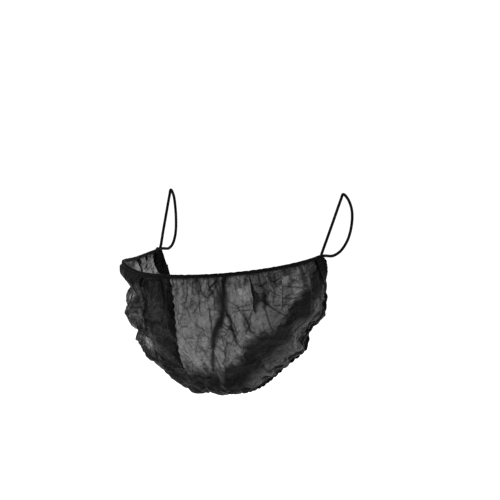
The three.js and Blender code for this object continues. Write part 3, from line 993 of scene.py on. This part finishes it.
class Nodes:
    """Short calls for building one material's node tree."""

    def __init__(self, name):
        self.material = bpy.data.materials.new(name)
        self.material.use_nodes = True
        self.tree = self.material.node_tree
        self.shader = self.tree.nodes["Principled BSDF"]

    def add(self, kind, **values):
        node = self.tree.nodes.new(kind)
        for key, value in values.items():
            setattr(node, key, value)
        return node

    def link(self, source, target):
        self.tree.links.new(source, target)

    def feed(self, socket, value):
        if hasattr(value, "is_output"):
            self.link(value, socket)
        else:
            socket.default_value = value

    def math(self, operation, a, b=0.0, clamp=False):
        node = self.add("ShaderNodeMath", operation=operation, use_clamp=clamp)
        self.feed(node.inputs[0], a)
        self.feed(node.inputs[1], b)
        return node.outputs[0]

    def stretch(self, vector, scale, turn=0.0):
        node = self.add("ShaderNodeMapping")
        node.inputs["Scale"].default_value = scale
        node.inputs["Rotation"].default_value = (0, 0, turn)
        self.link(vector, node.inputs["Vector"])
        return node.outputs[0]

    def noise(self, vector, scale, detail=3.0, roughness=0.55, distortion=0.0):
        node = self.add("ShaderNodeTexNoise")
        self.link(vector, node.inputs["Vector"])
        node.inputs["Scale"].default_value = scale
        node.inputs["Detail"].default_value = detail
        node.inputs["Roughness"].default_value = roughness
        node.inputs["Distortion"].default_value = distortion
        return node.outputs["Fac"]

    def remap(self, value, low, high, to_low, to_high):
        node = self.add("ShaderNodeMapRange")
        node.interpolation_type = "SMOOTHSTEP"
        self.link(value, node.inputs["Value"])
        for key, number in zip(("From Min", "From Max", "To Min", "To Max"), (low, high, to_low, to_high)):
            node.inputs[key].default_value = number
        return node.outputs[0]

    def line(self, value, half_width):
        """1 along the lines where a noise crosses its middle value, and 0 beside them."""
        away = self.math("ABSOLUTE", self.math("SUBTRACT", value, 0.5))
        return self.remap(away, 0.0, half_width, 1.0, 0.0)

    def cracks(self, vector, scale, count, turn, width):
        """Straight sharp lines between cells, shown in some places only."""
        wobble = self.add("ShaderNodeTexNoise")
        wobble.inputs["Scale"].default_value = count * 1.3
        self.link(vector, wobble.inputs["Vector"])
        shifted = self.add("ShaderNodeMix", data_type="VECTOR")
        shifted.inputs["Factor"].default_value = 0.35 / count
        self.link(vector, shifted.inputs["A"])
        self.link(wobble.outputs["Color"], shifted.inputs["B"])
        cells = self.add("ShaderNodeTexVoronoi", feature="DISTANCE_TO_EDGE")
        cells.inputs["Scale"].default_value = count
        self.link(self.stretch(shifted.outputs["Result"], scale, turn), cells.inputs["Vector"])
        lines = self.remap(cells.outputs["Distance"], 0.0, width, 1.0, 0.0)
        shown = self.remap(self.noise(vector, count * 0.45, 1), 0.42, 0.62, 0.0, 1.0)
        return self.math("MULTIPLY", lines, shown)

    def bump(self, height, distance, strength, after=None):
        node = self.add("ShaderNodeBump")
        node.inputs["Strength"].default_value = strength
        node.inputs["Distance"].default_value = distance
        self.link(height, node.inputs["Height"])
        if after is not None:
            self.link(after, node.inputs["Normal"])
        return node.outputs[0]

    def colors(self, value, low, high):
        node = self.add("ShaderNodeMix", data_type="RGBA")
        self.link(value, node.inputs["Factor"])
        node.inputs["A"].default_value = (*low, 1)
        node.inputs["B"].default_value = (*high, 1)
        return node.outputs["Result"]

    def finish(self, **values):
        for key, value in values.items():
            self.feed(self.shader.inputs[key.replace("_", " ")], value)


def sheer_material():
    """Thin spunbond cloth: random fibres with light gaps, darker wherever it creases or doubles, with painted
    shade and painted highlights from its attribute.
    """
    m = Nodes("sheer_black_nonwoven")
    flat = m.add("ShaderNodeUVMap", uv_map=UV_NAME).outputs[0]
    # The attribute holds the cloth's density, with painted shade above the hem and painted highlights on the
    # far side.
    full = m.add("ShaderNodeAttribute", attribute_name="fullness_and_painted_light").outputs["Fac"]
    cloud = m.noise(flat, 420, 5, 0.6)
    broad = m.noise(flat, 75, 3, 0.5)
    strands = m.line(m.noise(m.stretch(flat, (1.0, 0.25, 1), 0.5), 1500, 1, 0.4, 0.8), 0.035)
    across = m.line(m.noise(m.stretch(flat, (0.25, 1.0, 1), -0.4), 1300, 1, 0.4, 0.8), 0.035)
    steep = m.line(m.noise(m.stretch(flat, (1.0, 0.14, 1), -0.1), 620, 2, 0.5, 0.5), 0.035)
    fibres = m.math("MAXIMUM", m.math("MAXIMUM", strands, across), steep)
    cracks = m.cracks(flat, (1.0, 0.5, 1), 85, 0.3, 0.045)
    crazing = m.cracks(flat, (1.0, 0.6, 1), 190, -0.5, 0.06)
    gauze = m.math("ADD", GAUZE_COVER, m.math("MULTIPLY", m.math("SUBTRACT", cloud, 0.5), 0.18))
    gauze = m.math("ADD", gauze, m.math("MULTIPLY", m.math("SUBTRACT", broad, 0.5), 0.16))
    gauze = m.math("ADD", gauze, m.math("MULTIPLY", fibres, 0.05))
    split = m.add("ShaderNodeSeparateXYZ")
    m.link(flat, split.inputs[0])
    down = split.outputs["Y"]
    from_edge = m.math("MINIMUM", down, m.math("SUBTRACT", MIDDLE_LENGTH, down))
    near_edge = m.remap(from_edge, 2 * MM, 22 * MM, 1.0, 0.0)
    streaks = m.line(m.noise(m.stretch(flat, (1.0, 0.10, 1)), 330, 2, 0.5, 0.4), 0.06)
    gauze = m.math("ADD", gauze, m.math("MULTIPLY", m.math("MULTIPLY", streaks, near_edge), 0.10))
    gauze = m.math("MINIMUM", m.math("MAXIMUM", gauze, GAUZE_LEAST), GAUZE_MOST)
    opening = m.math("MULTIPLY", m.math("SUBTRACT", 1.0, gauze), m.math("SUBTRACT", 1.0, full))
    opening = m.math("MULTIPLY", opening, m.math("SUBTRACT", 1.0, m.math("MULTIPLY", cracks, 0.85)))
    opening = m.math("MULTIPLY", opening, m.math("SUBTRACT", 1.0, m.math("MULTIPLY", crazing, 0.6)))
    alpha = m.math("SUBTRACT", 1.0, opening, clamp=True)
    height = m.math("ADD", m.math("MULTIPLY", cloud, 0.6), m.math("MULTIPLY", fibres, 0.4))
    fine = m.bump(height, 0.12 * MM, 0.6)
    creased = m.bump(m.math("ADD", cracks, m.math("MULTIPLY", crazing, 0.4)), 0.3 * MM, 0.5, fine)
    m.finish(
        Base_Color=m.colors(fibres, BLACK, CLOTH_FIBRE),
        Roughness=0.5,
        Specular_IOR_Level=0.04,
        Alpha=alpha,
        Normal=creased,
    )
    return m.material


def elastic_material(name, pitch):
    """Matt black elastic wound with fine yarn."""
    m = Nodes(name)
    flat = m.add("ShaderNodeUVMap", uv_map=UV_NAME).outputs[0]
    yarn = m.noise(m.stretch(flat, (1.0, 0.25, 1), 0.3), 1 / pitch, 2, 0.5, 0.6)
    fuzz = m.noise(flat, 2600, 3, 0.6)
    height = m.math("ADD", yarn, m.math("MULTIPLY", fuzz, 0.35))
    m.finish(
        Base_Color=m.colors(m.remap(yarn, 0.4, 0.7, 0, 1), BLACK, ELASTIC_YARN),
        Roughness=m.remap(fuzz, 0.3, 0.7, 0.45, 0.65),
        Specular_IOR_Level=0.03,
        Normal=m.bump(height, 0.15 * MM, 0.7),
    )
    return m.material


def dress(piece, material, slot, *nodes):
    piece.data.materials.append(material)
    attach(piece, "root")
    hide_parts(*nodes)
    return piece


# Camera and light


def make_camera():
    a, e = CAMERA_AZIMUTH, CAMERA_ELEVATION
    across = Vector((math.cos(a), math.sin(a), 0))
    toward = Vector((math.sin(a) * math.cos(e), -math.cos(a) * math.cos(e), math.sin(e)))
    up = Vector((-math.sin(a) * math.sin(e), math.cos(a) * math.sin(e), math.cos(e)))
    data = bpy.data.cameras.new("camera")
    data.sensor_width = 36
    data.lens = CAMERA_LENS
    camera = bpy.data.objects.new("camera", data)
    camera.location = across * CAMERA_AIM_ACROSS + up * CAMERA_AIM_UP + toward * CAMERA_DISTANCE
    camera.rotation_euler = toward.to_track_quat("Z", "Y").to_euler()
    bpy.context.scene.collection.objects.link(camera)
    bpy.context.scene.camera = camera


def area_light(name, place, size, power):
    data = bpy.data.lights.new(name, "AREA")
    data.shape = "DISK"
    data.size = size
    data.energy = power
    lamp = bpy.data.objects.new(name, data)
    lamp.location = place
    aim = Vector(LAMP_AIM) - Vector(place)
    lamp.rotation_euler = aim.to_track_quat("-Z", "Y").to_euler()
    bpy.context.scene.collection.objects.link(lamp)


def make_studio():
    world = bpy.data.worlds.new("studio")
    world.use_nodes = True
    tree = world.node_tree
    tree.nodes["Background"].inputs["Color"].default_value = (1, 1, 1, 1)
    seen = tree.nodes.new("ShaderNodeLightPath").outputs["Is Camera Ray"]
    strength = tree.nodes.new("ShaderNodeMapRange")
    strength.inputs["To Min"].default_value = SKY_LIGHT
    strength.inputs["To Max"].default_value = SKY_SEEN
    tree.links.new(seen, strength.inputs["Value"])
    tree.links.new(strength.outputs[0], tree.nodes["Background"].inputs["Strength"])
    bpy.context.scene.world = world
    bpy.context.scene.view_settings.view_transform = "Standard"
    for row in LAMPS:
        area_light(*row)


def make_floor():
    corners = [(x * FLOOR_REACH, y * FLOOR_REACH, FLOOR) for x, y in ((-1, -1), (1, -1), (1, 1), (-1, 1))]
    floor = mesh_object("floor", corners, [(0, 1, 2, 3)])
    m = Nodes("pale_floor")
    spot = m.add("ShaderNodeTexCoord").outputs["Object"]
    m.finish(Base_Color=m.colors(m.noise(spot, 3), (0.88, 0.88, 0.88), (0.92, 0.92, 0.92)), Roughness=0.9)
    m.finish(Emission_Color=(1, 1, 1, 1), Emission_Strength=FLOOR_GLOW)
    floor.data.materials.append(m.material)


make_camera()
make_studio()
make_floor()

sheer = sheer_material()
edging = elastic_material("black_edge_elastic", 0.9 * MM)
cording = elastic_material("black_cord_elastic", 0.7 * MM)

cloth = dress(sheer_cloth(), sheer, "net_cloth", "net_body")
top = dress(elastic_edge("elastic_top", top_edge, 0.15, 31), edging, "elastic_edge", "top_band")
low = dress(elastic_edge("elastic_hem", low_edge, 1.0, 32), edging, "elastic_edge", "bottom_band")
for way, name in ((1, "left"), (-1, "right")):
    dress(gathered_end(way), sheer, "elastic_edge", "end_gather_" + name)
    dress(ear_loop(way), cording, "elastic_cord", "ear_loop_" + name)
